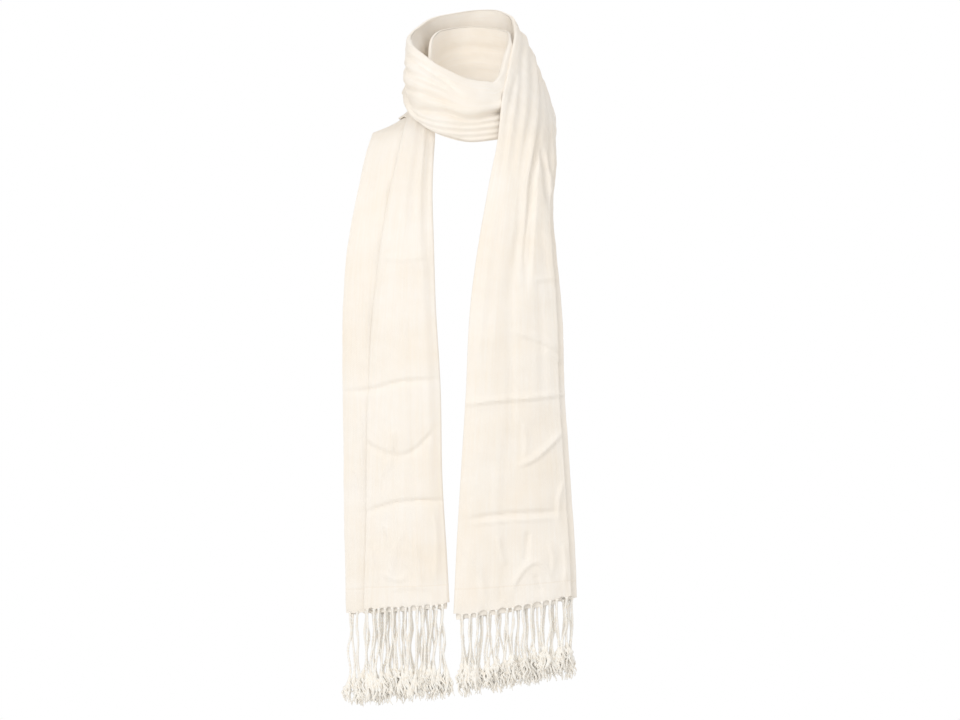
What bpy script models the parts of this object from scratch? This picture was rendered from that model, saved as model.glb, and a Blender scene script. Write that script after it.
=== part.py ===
"""Fringed shawl, pleated lengthwise and wound once round the neck with both ends hanging in front.

The cloth is one long rectangle. Each stretch of it is a closed wall that follows the folded section
of the cloth from station to station. X is the viewer's right, Y points away and Z is up.
Lengths in the tables are millimetres, and the objects are metres.
"""
import math
from typing import NamedTuple

import bmesh
import bpy
import numpy as np

MM = 0.001
WALL = 1.1
NEAR_EDGES = (0.0, 3.0, 3.0, 1.5)
LAYERS = 4
SEAM_GAP = 0.8
FRONT_EASE = 0.8
PLEAT_TURN = (-30.0, 30.0)
FOLD_TAPER = 1.5
STRAND_WIDTH = 2.4
STRANDS_PER_LAYER = 13
STRIP_HEIGHT = 5.0
HEM_DROP = 6.0
HEM_RUN = 0.8
STRAND_SWAY = 1.2
STRAND_LEAN = 0.4
STRAND_UNEVEN = 5.0
CLOTH_COLOUR = (0.93, 0.86, 0.77, 1.0)
FRINGE_COLOUR = (0.88, 0.78, 0.66, 1.0)


class Station(NamedTuple):
    """One cross line of the wound cloth: its neck-side edge, middle and outer edge, and its pleats."""

    name: str
    inner: tuple
    middle: tuple
    outer: tuple
    pitch: float
    inset: float


# The innermost layer, from the left hem up, round the neck and down to the right hem.
# pitch is the distance from layer to layer. inset is how far the two front layers stop short.
STATIONS = (
    Station("left hem", (-28, -109, -583), (-88, -103, -588), (-146, -85, -592), 4.0, 24),
    Station("left shin of cloth", (-30, -111, -529), (-90, -105, -530), (-148, -86, -531), 3.0, 27),
    Station("left lower", (-35, -114, -435), (-93, -107, -436), (-150, -87, -437), 2.4, 30),
    Station("left waist", (-37, -117, -330), (-95, -110, -330), (-151, -88, -330), 2.4, 33),
    Station("left ribs", (-43, -117, -225), (-97, -110, -225), (-150, -88, -224), 2.4, 39),
    Station("left chest", (-45, -111, -160), (-96, -104, -160), (-145, -85, -159), 2.3, 43),
    Station("left upper chest", (-47, -92, -95), (-92, -87, -92), (-134, -72, -93), 2.1, 44),
    Station("left collarbone", (-46, -76, -56), (-88, -71, -51), (-127, -56, -57), 2.0, 46),
    Station("left collar", (-45, -60, -22), (-80, -51, -21), (-120, -33, -29), 2.3, 42),
    Station("left slope", (-47, -42, 16), (-69, -35, -3), (-119, -13, -22), 2.3, 36),
    Station("left shoulder", (-48, -22, 52), (-60, -13, 15), (-117, 8, -21), 2.3, 28),
    Station("left shoulder back", (-48, -2, 82), (-56, 10, 28), (-108, 31, -18), 2.3, 22),
    Station("inner back left", (-42, 22, 106), (-49, 33, 46), (-86, 56, -10), 2.3, 15),
    Station("inner back near left", (-24, 41, 115), (-30, 50, 60), (-48, 74, -1), 2.3, 8),
    Station("inner back middle", (0, 48, 118), (0, 57, 66), (0, 82, 5), 1.9, 3),
    Station("inner back near right", (24, 41, 115), (28, 52, 63), (44, 72, 4), 1.9, 3),
    Station("inner back right", (40, 24, 109), (48, 31, 57), (68, 46, 0), 1.9, 3),
    Station("inner right", (43, 0, 101), (51, 0, 50), (72, 4, -4), 1.9, 3),
    Station("throat far right", (41, -25, 84), (50, -31, 36), (65, -36, -15), 1.9, 3),
    Station("throat right", (33, -46, 60), (41, -57, 17), (52, -64, -27), 1.9, 3),
    Station("throat near right", (22, -66, 38), (25, -80, 4), (28, -81, -33), 1.9, 3),
    Station("throat middle", (-2, -74, 33), (-2, -88, -1), (-3, -86, -36), 1.9, 3),
    Station("throat near left", (-29, -68, 46), (-31, -85, 8), (-31, -87, -30), 1.9, 3),
    Station("throat left", (-53, -50, 66), (-61, -64, 24), (-61, -68, -12), 1.9, 3),
    Station("throat far left", (-67, -31, 82), (-71, -39, 42), (-74, -46, 6), 1.9, 3),
    Station("outer left", (-73, -6, 97), (-74, -8, 58), (-78, -11, 23), 1.9, 3),
    Station("outer back far left", (-66, 24, 113), (-72, 28, 71), (-82, 35, 29), 1.9, 3),
    Station("outer back left", (-48, 46, 128), (-59, 57, 76), (-72, 75, 24), 1.9, 3),
    Station("outer back near left", (-22, 60, 136), (-28, 73, 80), (-38, 93, 19), 1.9, 3),
    Station("outer back middle", (8, 66, 141), (6, 77, 84), (2, 98, 17), 1.9, 3),
    Station("outer back near right", (33, 60, 139), (40, 69, 82), (44, 90, 17), 1.9, 3),
    Station("outer back right", (46, 43, 127), (61, 50, 76), (74, 66, 13), 1.9, 3),
    Station("outer back far right", (51, 20, 112), (72, 24, 66), (91, 34, 5), 1.9, 4),
    Station("right shoulder", (53, -10, 93), (77, -3, 52), (97, 0, -4), 1.9, 5),
    Station("right slope", (50, -40, 59), (77, -29, 28), (99, -22, -22), 1.9, 6),
    Station("right collar", (45, -68, 28), (74, -60, -2), (100, -44, -42), 1.9, 7),
    Station("right collarbone", (39, -86, 1), (70, -82, -34), (99, -66, -64), 2.0, 8),
    Station("right upper chest", (34, -95, -31), (65, -94, -60), (97, -78, -86), 2.1, 8),
    Station("right chest", (26, -101, -68), (60, -102, -88), (95, -86, -108), 2.2, 8),
    Station("right low chest", (18, -108, -112), (57, -109, -122), (95, -94, -134), 2.3, 8),
    Station("right ribs", (9, -115, -166), (54, -115, -170), (98, -100, -172), 2.4, 8),
    Station("right waist", (0, -119, -228), (53, -118, -230), (104, -103, -229), 2.4, 8),
    Station("right hip", (-6, -119, -335), (52, -117, -335), (108, -102, -335), 2.4, 8),
    Station("right lower", (-12, -117, -432), (52, -114, -434), (115, -99, -435), 2.4, 8),
    Station("right shin of cloth", (-17, -114, -530), (52, -111, -531), (121, -97, -531), 3.0, 8),
    Station("right hem", (-19, -112, -596), (52, -109, -586), (122, -95, -573), 4.0, 8),
)


class Fold(NamedTuple):
    """One soft crease along the cloth, from a first to a last station, placed across it from 0 to 1."""

    name: str
    first: float
    last: float
    start: float
    end: float
    width: float
    height: float
    front_only: bool


# Troughs have a negative height. Folds of the front layer only stand out, so no layer meets the next.
FOLDS = (
    Fold("wing of the left end", 1, 9, 0.62, 0.58, 34, -2.0, False),
    Fold("soft swell of the left end", 0, 8, 0.35, 0.40, 40, 2.0, False),
    Fold("roll of the front wrap", 19.5, 25, 0.33, 0.36, 44, 4.0, False),
    Fold("groove under the roll", 17, 28, 0.66, 0.66, 14, -2.0, False),
    Fold("throat pleat high", 17.6, 27, 0.745, 0.745, 4.2, 1.8, True),
    Fold("throat pleat middle", 17.6, 27, 0.835, 0.835, 4.2, 2.0, True),
    Fold("throat pleat low", 17.6, 27, 0.925, 0.925, 4.2, 1.8, True),
    Fold("back fold high", 26, 32, 0.25, 0.25, 11, 2.2, True),
    Fold("back fold low", 26, 32, 0.58, 0.58, 11, 2.4, True),
    Fold("shoulder gather inner", 30, 38.5, 0.1667, 0.1667, 9.6, 3.0, True),
    Fold("shoulder gather second", 30.5, 39.5, 0.3333, 0.3333, 9.6, 3.4, True),
    Fold("shoulder gather third", 31, 40, 0.5, 0.5, 9.6, 3.6, True),
    Fold("shoulder gather fourth", 31, 40.5, 0.6667, 0.6667, 9.6, 3.4, True),
    Fold("shoulder gather outer", 31.5, 39.5, 0.8333, 0.8333, 9.6, 3.0, True),
    Fold("trough below the gathers", 37, 42, 0.50, 0.36, 18, -2.0, False),
    Fold("swell of the right end", 36, 45, 0.66, 0.70, 44, 2.6, False),
    Fold("inner swell of the right end", 39, 45, 0.22, 0.18, 36, 2.0, False),
)


class Stretch(NamedTuple):
    """One solid of cloth between two stations, with its spans of sections and its stops across."""

    name: str
    spans: tuple
    back_stops: tuple
    front_stops: tuple


EVEN_STOPS = tuple(index / 6 for index in range(7))
FINE_STOPS = tuple(index / 12 for index in range(13))
THROAT_BACK_STOPS = (0.0, 0.18, 0.36, 0.52, 0.66, 0.82, 1.0)
THROAT_FRONT_STOPS = (0.0, 0.09, 0.18, 0.27, 0.36, 0.44, 0.52, 0.59, 0.66, 0.70, 0.745, 0.79, 0.835, 0.88,
                      0.925, 0.965, 1.0)
STRETCHES = (
    Stretch("left_end", ((0, 5, 8), (5, 9, 5)), EVEN_STOPS, EVEN_STOPS),
    Stretch("back_wrap_inner", ((9, 13, 8), (13, 17, 5)), EVEN_STOPS, EVEN_STOPS),
    Stretch("front_wrap", ((17, 25, 12),), THROAT_BACK_STOPS, THROAT_FRONT_STOPS),
    Stretch("back_wrap_outer", ((25, 33, 11),), EVEN_STOPS, FINE_STOPS),
    Stretch("right_end", ((33, 40, 8), (40, 45, 9)), EVEN_STOPS, FINE_STOPS),
)


def knots():
    """Return the distance along the middle of the cloth at each station."""
    middles = np.array([row.middle for row in STATIONS], float)
    steps = np.linalg.norm(np.diff(middles, axis=0), axis=1)
    return np.concatenate(([0.0], np.cumsum(steps)))


KNOTS = knots()


def slopes(values):
    """Return the slope at each station of a smooth curve through the values."""
    steps = np.diff(KNOTS)[:, None]
    chords = np.diff(values, axis=0) / steps
    inner = (chords[:-1] * steps[1:] + chords[1:] * steps[:-1]) / (steps[:-1] + steps[1:])
    return np.vstack((chords[:1], inner, chords[-1:]))


TABLE = np.array([row.inner + row.middle + row.outer + (row.pitch, row.inset) for row in STATIONS], float)
SLOPES = slopes(TABLE)


def along(place):
    """Return the smooth table row at a place counted in stations."""
    index = min(max(int(math.floor(place)), 0), len(STATIONS) - 2)
    part = place - index
    step = KNOTS[index + 1] - KNOTS[index]
    cube = part ** 3
    square = part ** 2
    return ((2 * cube - 3 * square + 1) * TABLE[index] + (cube - 2 * square + part) * step * SLOPES[index]
            + (3 * square - 2 * cube) * TABLE[index + 1] + (cube - square) * step * SLOPES[index + 1])


def sheet_point(place, across):
    """Return a point of the innermost layer, with across from 0 at the neck side to 1."""
    row = along(place)
    inner, middle, outer = row[0:3], row[3:6], row[6:9]
    return (inner * (2 * (across - 0.5) * (across - 1)) + middle * (4 * across * (1 - across))
            + outer * (2 * across * (across - 0.5)))


def sheet_frame(place, across):
    """Return the unit directions across, outward and along the innermost layer."""
    step = 0.02
    low = max(place - step, 0.0)
    high = min(place + step, len(STATIONS) - 1.0)
    onward = sheet_point(high, across) - sheet_point(low, across)
    sideways = sheet_point(place, across + step) - sheet_point(place, across - step)
    outward = np.cross(onward, sideways)
    return (sideways / np.linalg.norm(sideways), outward / np.linalg.norm(outward),
            onward / np.linalg.norm(onward))


def fade(place, first, last):
    """Return 1 in the middle of a fold's run and 0 at both its ends."""
    if place <= first or place >= last:
        return 0.0
    part = min((place - first), (last - place)) / min(FOLD_TAPER, (last - first) / 2)
    part = min(part, 1.0)
    return part * part * (3 - 2 * part)


def swell(place, across, width, front):
    """Return the height of all folds at one point, for the front layer or for the others."""
    height = 0.0
    for fold in FOLDS:
        if fold.front_only and not front:
            continue
        run = fade(place, fold.first, fold.last)
        part = (place - fold.first) / (fold.last - fold.first)
        centre = fold.start + (fold.end - fold.start) * part
        off = (across - centre) * width / (0.5 * fold.width)
        if run > 0 and abs(off) < 2:
            height += fold.height * run * 0.5 * (1 + math.cos(0.5 * math.pi * off))
    return height


def section(place, layer_stops):
    """Return the middle line of the folded cloth at a place: one point for each stop of each layer."""
    row = along(place)
    width = np.linalg.norm(row[3:6] - row[0:3]) + np.linalg.norm(row[6:9] - row[3:6])
    pitch, inset = row[9], row[10]
    far = [1.0, 1.0, 1 - inset / width, 1 - inset / width]
    near = [edge / width for edge in NEAR_EDGES]
    points = []
    for layer in range(LAYERS):
        stops = layer_stops[layer]
        if layer % 2:
            stops = stops[::-1]
        for stop in stops:
            across = near[layer] + (far[layer] - near[layer]) * stop
            outward = sheet_frame(place, across)[1]
            front = layer == LAYERS - 1
            depth = layer * pitch + swell(place, across, width, front) + FRONT_EASE * front
            points.append(sheet_point(place, across) + outward * depth)
        if layer < LAYERS - 1:
            edge = near[layer + 1] if layer % 2 else far[layer]
            sideways, outward, _ = sheet_frame(place, edge)
            side = -1 if layer % 2 else 1
            radius = (pitch + FRONT_EASE * (layer == LAYERS - 2)) / 2
            depth = layer * pitch + radius + swell(place, edge, width, False)
            for turn in PLEAT_TURN:
                angle = math.radians(turn)
                points.append(sheet_point(place, edge) + outward * (depth + math.sin(angle) * radius)
                              + sideways * side * math.cos(angle) * radius)
    return np.array(points)


def walls(lines):
    """Return both faces of the cloth wall for rows of middle lines."""
    lines = np.array(lines)
    onward = np.gradient(lines, axis=0)
    onward /= np.linalg.norm(onward, axis=2, keepdims=True)
    edges = np.diff(lines, axis=1)
    edges /= np.linalg.norm(edges, axis=2, keepdims=True)
    before = np.concatenate((edges[:, :1], edges), axis=1)
    after = np.concatenate((edges, edges[:, -1:]), axis=1)
    normal = np.cross(onward, before) + np.cross(onward, after)
    length = np.linalg.norm(normal, axis=2, keepdims=True)
    mitre = np.clip(2 / length, 1.0, 1.3)
    offset = normal / length * mitre * WALL / 2
    return lines + offset, lines - offset


def ring_points(front, back):
    """Return one closed ring of points round the wall."""
    return [*front, *back[::-1]]


def add_ring(mesh, points):
    """Add a closed ring of edges through the points and return its vertices in order."""
    verts = [mesh.verts.new(point * MM) for point in points]
    for index, vert in enumerate(verts):
        mesh.edges.new((vert, verts[(index + 1) % len(verts)]))
    return verts


def skin(mesh, first, second):
    """Lay faces between two rings of the same count."""
    count = len(first)
    for index in range(count):
        after = (index + 1) % count
        mesh.faces.new((first[index], first[after], second[after], second[index]))


def cap(mesh, ring):
    """Close the wall at one end with a strip of faces and return them."""
    half = len(ring) // 2
    return [mesh.faces.new((ring[i], ring[i + 1], ring[-2 - i], ring[-1 - i])) for i in range(half - 1)]


def material(name, colour, roughness):
    """Return a Principled material."""
    made = bpy.data.materials.new(name)
    made.use_nodes = True
    shader = made.node_tree.nodes["Principled BSDF"]
    shader.inputs["Base Color"].default_value = colour
    shader.inputs["Roughness"].default_value = roughness
    shader.inputs["Metallic"].default_value = 0.0
    return made


def finish(mesh, name, made):
    """Turn the faces outward and make the named object."""
    bmesh.ops.recalc_face_normals(mesh, faces=mesh.faces[:])
    bmesh.ops.triangulate(mesh, faces=mesh.faces[:], quad_method="SHORT_EDGE")
    data = bpy.data.meshes.new(name)
    mesh.to_mesh(data)
    mesh.free()
    data.materials.append(made)
    built = bpy.data.objects.new(name, data)
    bpy.context.scene.collection.objects.link(built)
    return built


def places_of(stretch):
    """Return the places of a stretch's sections, counted in stations."""
    places = [stretch.spans[0][0]]
    for first, last, count in stretch.spans:
        places.extend(np.linspace(first, last, count + 1)[1:])
    return places


def pull_back(end, inside, distance):
    """Return an end line moved toward a line further in, to leave a seam gap."""
    away = inside - end
    away /= np.linalg.norm(away, axis=1, keepdims=True)
    return end + away * distance


def hem_line(place, layer_stops):
    """Return the section at a place, with its back layers lowered a little near a hem."""
    line = section(place, layer_stops)
    last = len(STATIONS) - 1
    near = max(0.0, 1 - min(place, last - place) / HEM_RUN)
    first = len(layer_stops[0]) + len(PLEAT_TURN)
    second = len(layer_stops[1])
    rest = len(line) - first - second
    lowered = np.concatenate((np.ones(first), np.linspace(1, 0, second), np.zeros(rest)))
    line[:, 2] -= HEM_DROP * near * lowered
    return line


def build_stretch(stretch):
    """Make one stretch of cloth as a closed wall."""
    stops = [np.array(stretch.back_stops)] * (LAYERS - 1) + [np.array(stretch.front_stops)]
    places = places_of(stretch)
    lines = [hem_line(place, stops) for place in places]
    for end, step in ((0, 0.2), (-1, -0.2)):
        at_hem = places[end] in (0, len(STATIONS) - 1)
        gap = STRIP_HEIGHT + SEAM_GAP if at_hem else SEAM_GAP / 2
        lines[end] = pull_back(lines[end], hem_line(places[end] + step, stops), gap)
    front, back = walls(lines)
    mesh = bmesh.new()
    rings = [add_ring(mesh, ring_points(front[i], back[i])) for i in range(len(lines))]
    for first, second in zip(rings, rings[1:]):
        skin(mesh, first, second)
    cap(mesh, rings[0])
    cap(mesh, rings[-1])
    return finish(mesh, stretch.name, material(stretch.name + "_wool", CLOTH_COLOUR, 0.85))


def spread(index, salt):
    """Return a repeatable number from -1 to 1 for a strand."""
    value = math.sin(index * 12.9898 + salt * 78.233) * 43758.5453
    return 2 * (value - math.floor(value)) - 1


def strand_stops(width):
    """Return the stops of one layer at both sides of each strand."""
    half = STRAND_WIDTH / 2 / width
    centres = [(index + 0.5) / STRANDS_PER_LAYER for index in range(STRANDS_PER_LAYER)]
    stops = [0.0]
    for centre in centres:
        stops.extend((centre - half, centre + half))
    return np.array(stops + [1.0])


class StrandLevel(NamedTuple):
    """One level down a strand: how far below its root, and its width and depth there."""

    name: str
    below: float
    width: float
    depth: float


def strand_levels(knot, tuft):
    """Return the levels of one strand with its knot and tuft lengths."""
    return (StrandLevel("cord", 8.0, 2.4, 2.2), StrandLevel("knot", knot, 3.0, 2.8),
            StrandLevel("tuft", knot + tuft, 4.2, 2.6))


def build_fringe(name, place, upward, knot, tuft):
    """Make one fringe: a narrow strip that follows the hem with every strand hanging from it."""
    row = along(place)
    width = np.linalg.norm(row[3:6] - row[0:3]) + np.linalg.norm(row[6:9] - row[3:6])
    stops = [strand_stops(width)] * LAYERS
    count = 2 * STRANDS_PER_LAYER + 1
    low = hem_line(place, stops)
    lines = [low, pull_back(low, hem_line(place + upward * 0.2, stops), STRIP_HEIGHT)]
    front, back = walls(lines if upward > 0 else lines[::-1])
    bottom = 0 if upward > 0 else 1
    mesh = bmesh.new()
    rings = [add_ring(mesh, ring_points(front[i], back[i])) for i in range(2)]
    skin(mesh, rings[0], rings[1])
    cap(mesh, rings[1 - bottom])
    roots = cap(mesh, rings[bottom])
    chosen = []
    first = 0
    for layer in range(LAYERS):
        chosen.extend(first + 1 + 2 * index for index in range(STRANDS_PER_LAYER))
        first += count + 1 + len(PLEAT_TURN)
    for index, root in enumerate(chosen):
        hang_strand(mesh, roots[root], index, low[root + 1] - low[root], knot, tuft)
    return finish(mesh, name, material(name + "_twisted_wool", FRINGE_COLOUR, 0.9))


def hang_strand(mesh, root, index, across, knot, tuft):
    """Pull one strand out of a face of the strip, down to its knot and its tuft."""
    across = across / np.linalg.norm(across)
    outward = np.cross(across, (0.0, 0.0, 1.0))
    outward /= np.linalg.norm(outward)
    top = np.array(root.calc_center_median()) / MM
    centre = top
    sway = spread(index, 1) * STRAND_SWAY
    lean = spread(index, 2) * STRAND_LEAN
    levels = strand_levels(knot + spread(index, 3) * STRAND_UNEVEN, tuft + spread(index, 4) * STRAND_UNEVEN)
    face = root
    for level in levels:
        corners = [np.array(vert.co) / MM - centre for vert in face.verts]
        signs = [(np.sign(np.dot(c, across)), np.sign(np.dot(c, outward))) for c in corners]
        made = bmesh.ops.extrude_discrete_faces(mesh, faces=[face])
        face = made["faces"][0]
        part = level.below / (knot + tuft)
        middle = top + across * sway * part + outward * lean * part
        middle[2] -= level.below
        for vert, (side, face_side) in zip(face.verts, signs):
            place = middle + across * side * level.width / 2 + outward * face_side * level.depth / 2
            vert.co = place * MM
        centre = middle


def main():
    """Empty the scene and make every solid of the shawl."""
    for old in list(bpy.data.objects):
        bpy.data.objects.remove(old)
    for stretch in STRETCHES:
        build_stretch(stretch)
    build_fringe("left_fringe", 0.0, 1, 78.0, 26.0)
    build_fringe("right_fringe", len(STATIONS) - 1.0, -1, 60.0, 26.0)


if __name__ == "__main__":
    main()
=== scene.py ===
"""Fringed ivory wool shawl, pleated lengthwise and wound once round the neck.

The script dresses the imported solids. Each stretch of the wound cloth is one thin sheet that follows
the folded section of the shawl, with its gathers, packing creases and scalloped hems placed in real
sizes, and each end carries a fringe of twisted, knotted strands.
Tables are in millimetres: X is the viewer's right, Y points away and Z is up.
"""

import logging
import math
from dataclasses import dataclass
from enum import Enum
from typing import NamedTuple

import bmesh
import bpy
import numpy as np
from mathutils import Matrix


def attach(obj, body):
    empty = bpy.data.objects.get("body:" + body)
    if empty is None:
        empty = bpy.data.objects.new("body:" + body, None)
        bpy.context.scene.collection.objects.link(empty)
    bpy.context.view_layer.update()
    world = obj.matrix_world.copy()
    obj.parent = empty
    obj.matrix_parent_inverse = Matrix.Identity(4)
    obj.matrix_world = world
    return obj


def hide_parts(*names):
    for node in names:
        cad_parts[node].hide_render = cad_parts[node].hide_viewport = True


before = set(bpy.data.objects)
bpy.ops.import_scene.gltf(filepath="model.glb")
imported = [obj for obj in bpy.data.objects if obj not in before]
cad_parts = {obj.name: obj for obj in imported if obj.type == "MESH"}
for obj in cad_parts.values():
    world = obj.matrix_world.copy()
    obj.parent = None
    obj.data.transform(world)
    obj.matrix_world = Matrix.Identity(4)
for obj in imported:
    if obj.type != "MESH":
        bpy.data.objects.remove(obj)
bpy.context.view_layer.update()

Array = np.ndarray
Point = tuple[float, float, float]
Span = tuple[float, float]
Line = tuple[Span, ...]

MM = 0.001
LAYERS = 4
FRONT = LAYERS - 1
log = logging.getLogger("shawl")


class Station(NamedTuple):
    """One cross line of the wound cloth, with its three points, its pleat pitch and its front inset."""

    name: str
    inner: Point
    middle: Point
    outer: Point
    pitch: float
    inset: float


# The innermost layer, from the left hem up, round the neck and down to the right hem.
STATIONS: tuple[Station, ...] = (
    Station("left hem", (-28, -109, -583), (-88, -103, -588), (-146, -85, -592), 4.0, 24),
    Station("left shin of cloth", (-30, -111, -529), (-90, -105, -530), (-148, -86, -531), 3.0, 27),
    Station("left lower", (-35, -114, -435), (-93, -107, -436), (-150, -87, -437), 2.4, 30),
    Station("left waist", (-37, -117, -330), (-95, -110, -330), (-151, -88, -330), 2.4, 33),
    Station("left ribs", (-43, -117, -225), (-97, -110, -225), (-150, -88, -224), 2.4, 39),
    Station("left chest", (-45, -111, -160), (-96, -104, -160), (-145, -85, -159), 2.3, 43),
    Station("left upper chest", (-47, -92, -95), (-92, -87, -92), (-134, -72, -93), 2.1, 44),
    Station("left collarbone", (-46, -76, -56), (-88, -71, -51), (-127, -56, -57), 2.0, 46),
    Station("left collar", (-45, -60, -22), (-80, -51, -21), (-120, -33, -29), 2.3, 42),
    Station("left slope", (-47, -42, 16), (-69, -35, -3), (-119, -13, -22), 2.3, 36),
    Station("left shoulder", (-48, -22, 52), (-60, -13, 15), (-117, 8, -21), 2.3, 28),
    Station("left shoulder back", (-48, -2, 82), (-56, 10, 28), (-108, 31, -18), 2.3, 22),
    Station("inner back left", (-42, 22, 106), (-49, 33, 46), (-86, 56, -10), 2.3, 15),
    Station("inner back near left", (-24, 41, 115), (-30, 50, 60), (-48, 74, -1), 2.3, 8),
    Station("inner back middle", (0, 48, 118), (0, 57, 66), (0, 82, 5), 1.9, 3),
    Station("inner back near right", (24, 41, 115), (28, 52, 63), (44, 72, 4), 1.9, 3),
    Station("inner back right", (40, 24, 109), (48, 31, 57), (68, 46, 0), 1.9, 3),
    Station("inner right", (43, 0, 101), (51, 0, 50), (72, 4, -4), 1.9, 3),
    Station("throat far right", (41, -25, 84), (50, -31, 36), (65, -36, -15), 1.9, 3),
    Station("throat right", (33, -46, 60), (41, -57, 17), (52, -64, -27), 1.9, 3),
    Station("throat near right", (22, -66, 38), (25, -80, 4), (28, -81, -33), 1.9, 3),
    Station("throat middle", (-2, -74, 33), (-2, -88, -1), (-3, -86, -36), 1.9, 3),
    Station("throat near left", (-29, -68, 46), (-31, -85, 8), (-31, -87, -30), 1.9, 3),
    Station("throat left", (-53, -50, 66), (-61, -64, 24), (-61, -68, -12), 1.9, 3),
    Station("throat far left", (-67, -31, 82), (-71, -39, 42), (-74, -46, 6), 1.9, 3),
    Station("outer left", (-73, -6, 97), (-74, -8, 58), (-78, -11, 23), 1.9, 3),
    Station("outer back far left", (-66, 24, 113), (-72, 28, 71), (-82, 35, 29), 1.9, 3),
    Station("outer back left", (-48, 46, 128), (-59, 57, 76), (-72, 75, 24), 1.9, 3),
    Station("outer back near left", (-22, 60, 136), (-28, 73, 80), (-38, 93, 19), 1.9, 3),
    Station("outer back middle", (8, 66, 141), (6, 77, 84), (2, 98, 17), 1.9, 3),
    Station("outer back near right", (33, 60, 139), (40, 69, 82), (44, 90, 17), 1.9, 3),
    Station("outer back right", (46, 43, 127), (61, 50, 76), (74, 66, 13), 1.9, 3),
    Station("outer back far right", (51, 20, 112), (72, 24, 66), (91, 34, 5), 1.9, 4),
    Station("right shoulder", (53, -10, 93), (77, -3, 52), (97, 0, -4), 1.9, 5),
    Station("right slope", (50, -40, 59), (77, -29, 28), (99, -22, -22), 1.9, 6),
    Station("right collar", (45, -68, 28), (74, -60, -2), (100, -44, -42), 1.9, 7),
    Station("right collarbone", (39, -86, 1), (70, -82, -34), (99, -66, -64), 2.0, 8),
    Station("right upper chest", (34, -95, -31), (65, -94, -60), (97, -78, -86), 2.1, 8),
    Station("right chest", (26, -101, -68), (60, -102, -88), (95, -86, -108), 2.2, 8),
    Station("right low chest", (18, -108, -112), (57, -109, -122), (95, -94, -134), 2.3, 8),
    Station("right ribs", (9, -115, -166), (54, -115, -170), (98, -100, -172), 2.4, 8),
    Station("right waist", (0, -119, -228), (53, -118, -230), (104, -103, -229), 2.4, 8),
    Station("right hip", (-6, -119, -335), (52, -117, -335), (108, -102, -335), 2.4, 8),
    Station("right lower", (-12, -117, -432), (52, -114, -434), (115, -99, -435), 2.4, 8),
    Station("right shin of cloth", (-17, -114, -530), (52, -111, -531), (121, -97, -531), 3.0, 8),
    Station("right hem", (-19, -112, -596), (52, -109, -586), (122, -95, -573), 4.0, 8),
)
LAST = float(len(STATIONS) - 1)


def softened(points: Line) -> Array:
    """Return a line with its corners cut twice at a quarter, so that it bends as cloth does.

    Args:
        points: The line's points.

    Returns:
        The points of the softened line, one to a row.
    """
    line = np.array(points, float)
    for _ in range(2):
        first, second = line[:-1], line[1:]
        cut = np.stack((0.75 * first + 0.25 * second, 0.25 * first + 0.75 * second), axis=1).reshape(-1, 2)
        line = np.vstack((line[:1], cut[1:-1], line[-1:]))
    return line


def eased(part: Array) -> Array:
    """Return shares held between 0 and 1 that leave both ends gently."""
    part = np.clip(part, 0, 1)
    return part * part * (3 - 2 * part)


class Reach(Enum):
    """Which layers of the pleated cloth a fold moves, counted from the innermost one."""

    ALL = range(LAYERS)
    FRONT_ONLY = range(FRONT, LAYERS)
    BACK_ONLY = range(1)


@dataclass(frozen=True)
class Fold:
    """A soft ridge, or a trough where its height is negative, on a route along the cloth.

    The route is given as pairs: a place along the cloth in stations, and how far across it, from 0 at
    the neck side to 1.
    """

    name: str
    route: Line
    width: float
    height: float
    reach: Reach
    taper: float = 0.9

    def lift(self, place: Array, across: Array, width: Array) -> Array:
        """Return how far the fold lifts each point.

        Args:
            place: Rows of places along the cloth, counted in stations.
            across: The places across the cloth, from 0 to 1.
            width: The cloth's width at each row, in millimetres.

        Returns:
            The lift of each point in millimetres, negative in a trough.
        """
        places, stops = softened(tuple(sorted(self.route))).T
        centre = np.interp(place, places, stops)
        run = eased(np.minimum(place - places[0], places[-1] - place) / self.taper)
        off = np.clip((across - centre) * width / self.width, -1, 1)
        return self.height * run * 0.5 * (1 + np.cos(math.pi * off))


@dataclass(frozen=True)
class Crease:
    """A packing crease or crumple, along points given as x and z in millimetres as seen from the front.

    Seen along the way in which its points run, a ridge falls steeply on its right side, and a valley,
    which has a negative height, on its left side.
    """

    name: str
    points: Line
    width: float
    height: float
    slope: float = 3.0
    end_run: float = 0.15
    end_share: float = 0.1

    def lift(self, x: Array, z: Array) -> Array:
        """Return how far the crease lifts each point.

        Args:
            x: Sideways positions in millimetres.
            z: Heights in millimetres.

        Returns:
            The lift in millimetres.
        """
        line = softened(self.points)
        spans = len(line) - 1
        best, above, run = np.full(x.shape, np.inf), np.zeros(x.shape), np.zeros(x.shape)
        for index, ((ax, az), (bx, bz)) in enumerate(zip(line, line[1:])):
            dx, dz = bx - ax, bz - az
            part = np.clip(((x - ax) * dx + (z - az) * dz) / (dx * dx + dz * dz), 0, 1)
            gap_x, gap_z = x - ax - part * dx, z - az - part * dz
            distance = np.hypot(gap_x, gap_z)
            nearer = distance < best
            best = np.where(nearer, distance, best)
            above = np.where(nearer, np.sign(gap_z * dx - gap_x * dz), above)
            run = np.where(nearer, (index + part) / spans, run)
        ends = self.end_share + (1 - self.end_share) * eased(np.minimum(run, 1 - run) / self.end_run)
        steep = above * self.height < 0
        reach = np.where(steep, self.width, self.width * self.slope)
        return self.height * ends * np.exp(-(best / reach) ** 2)


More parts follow.
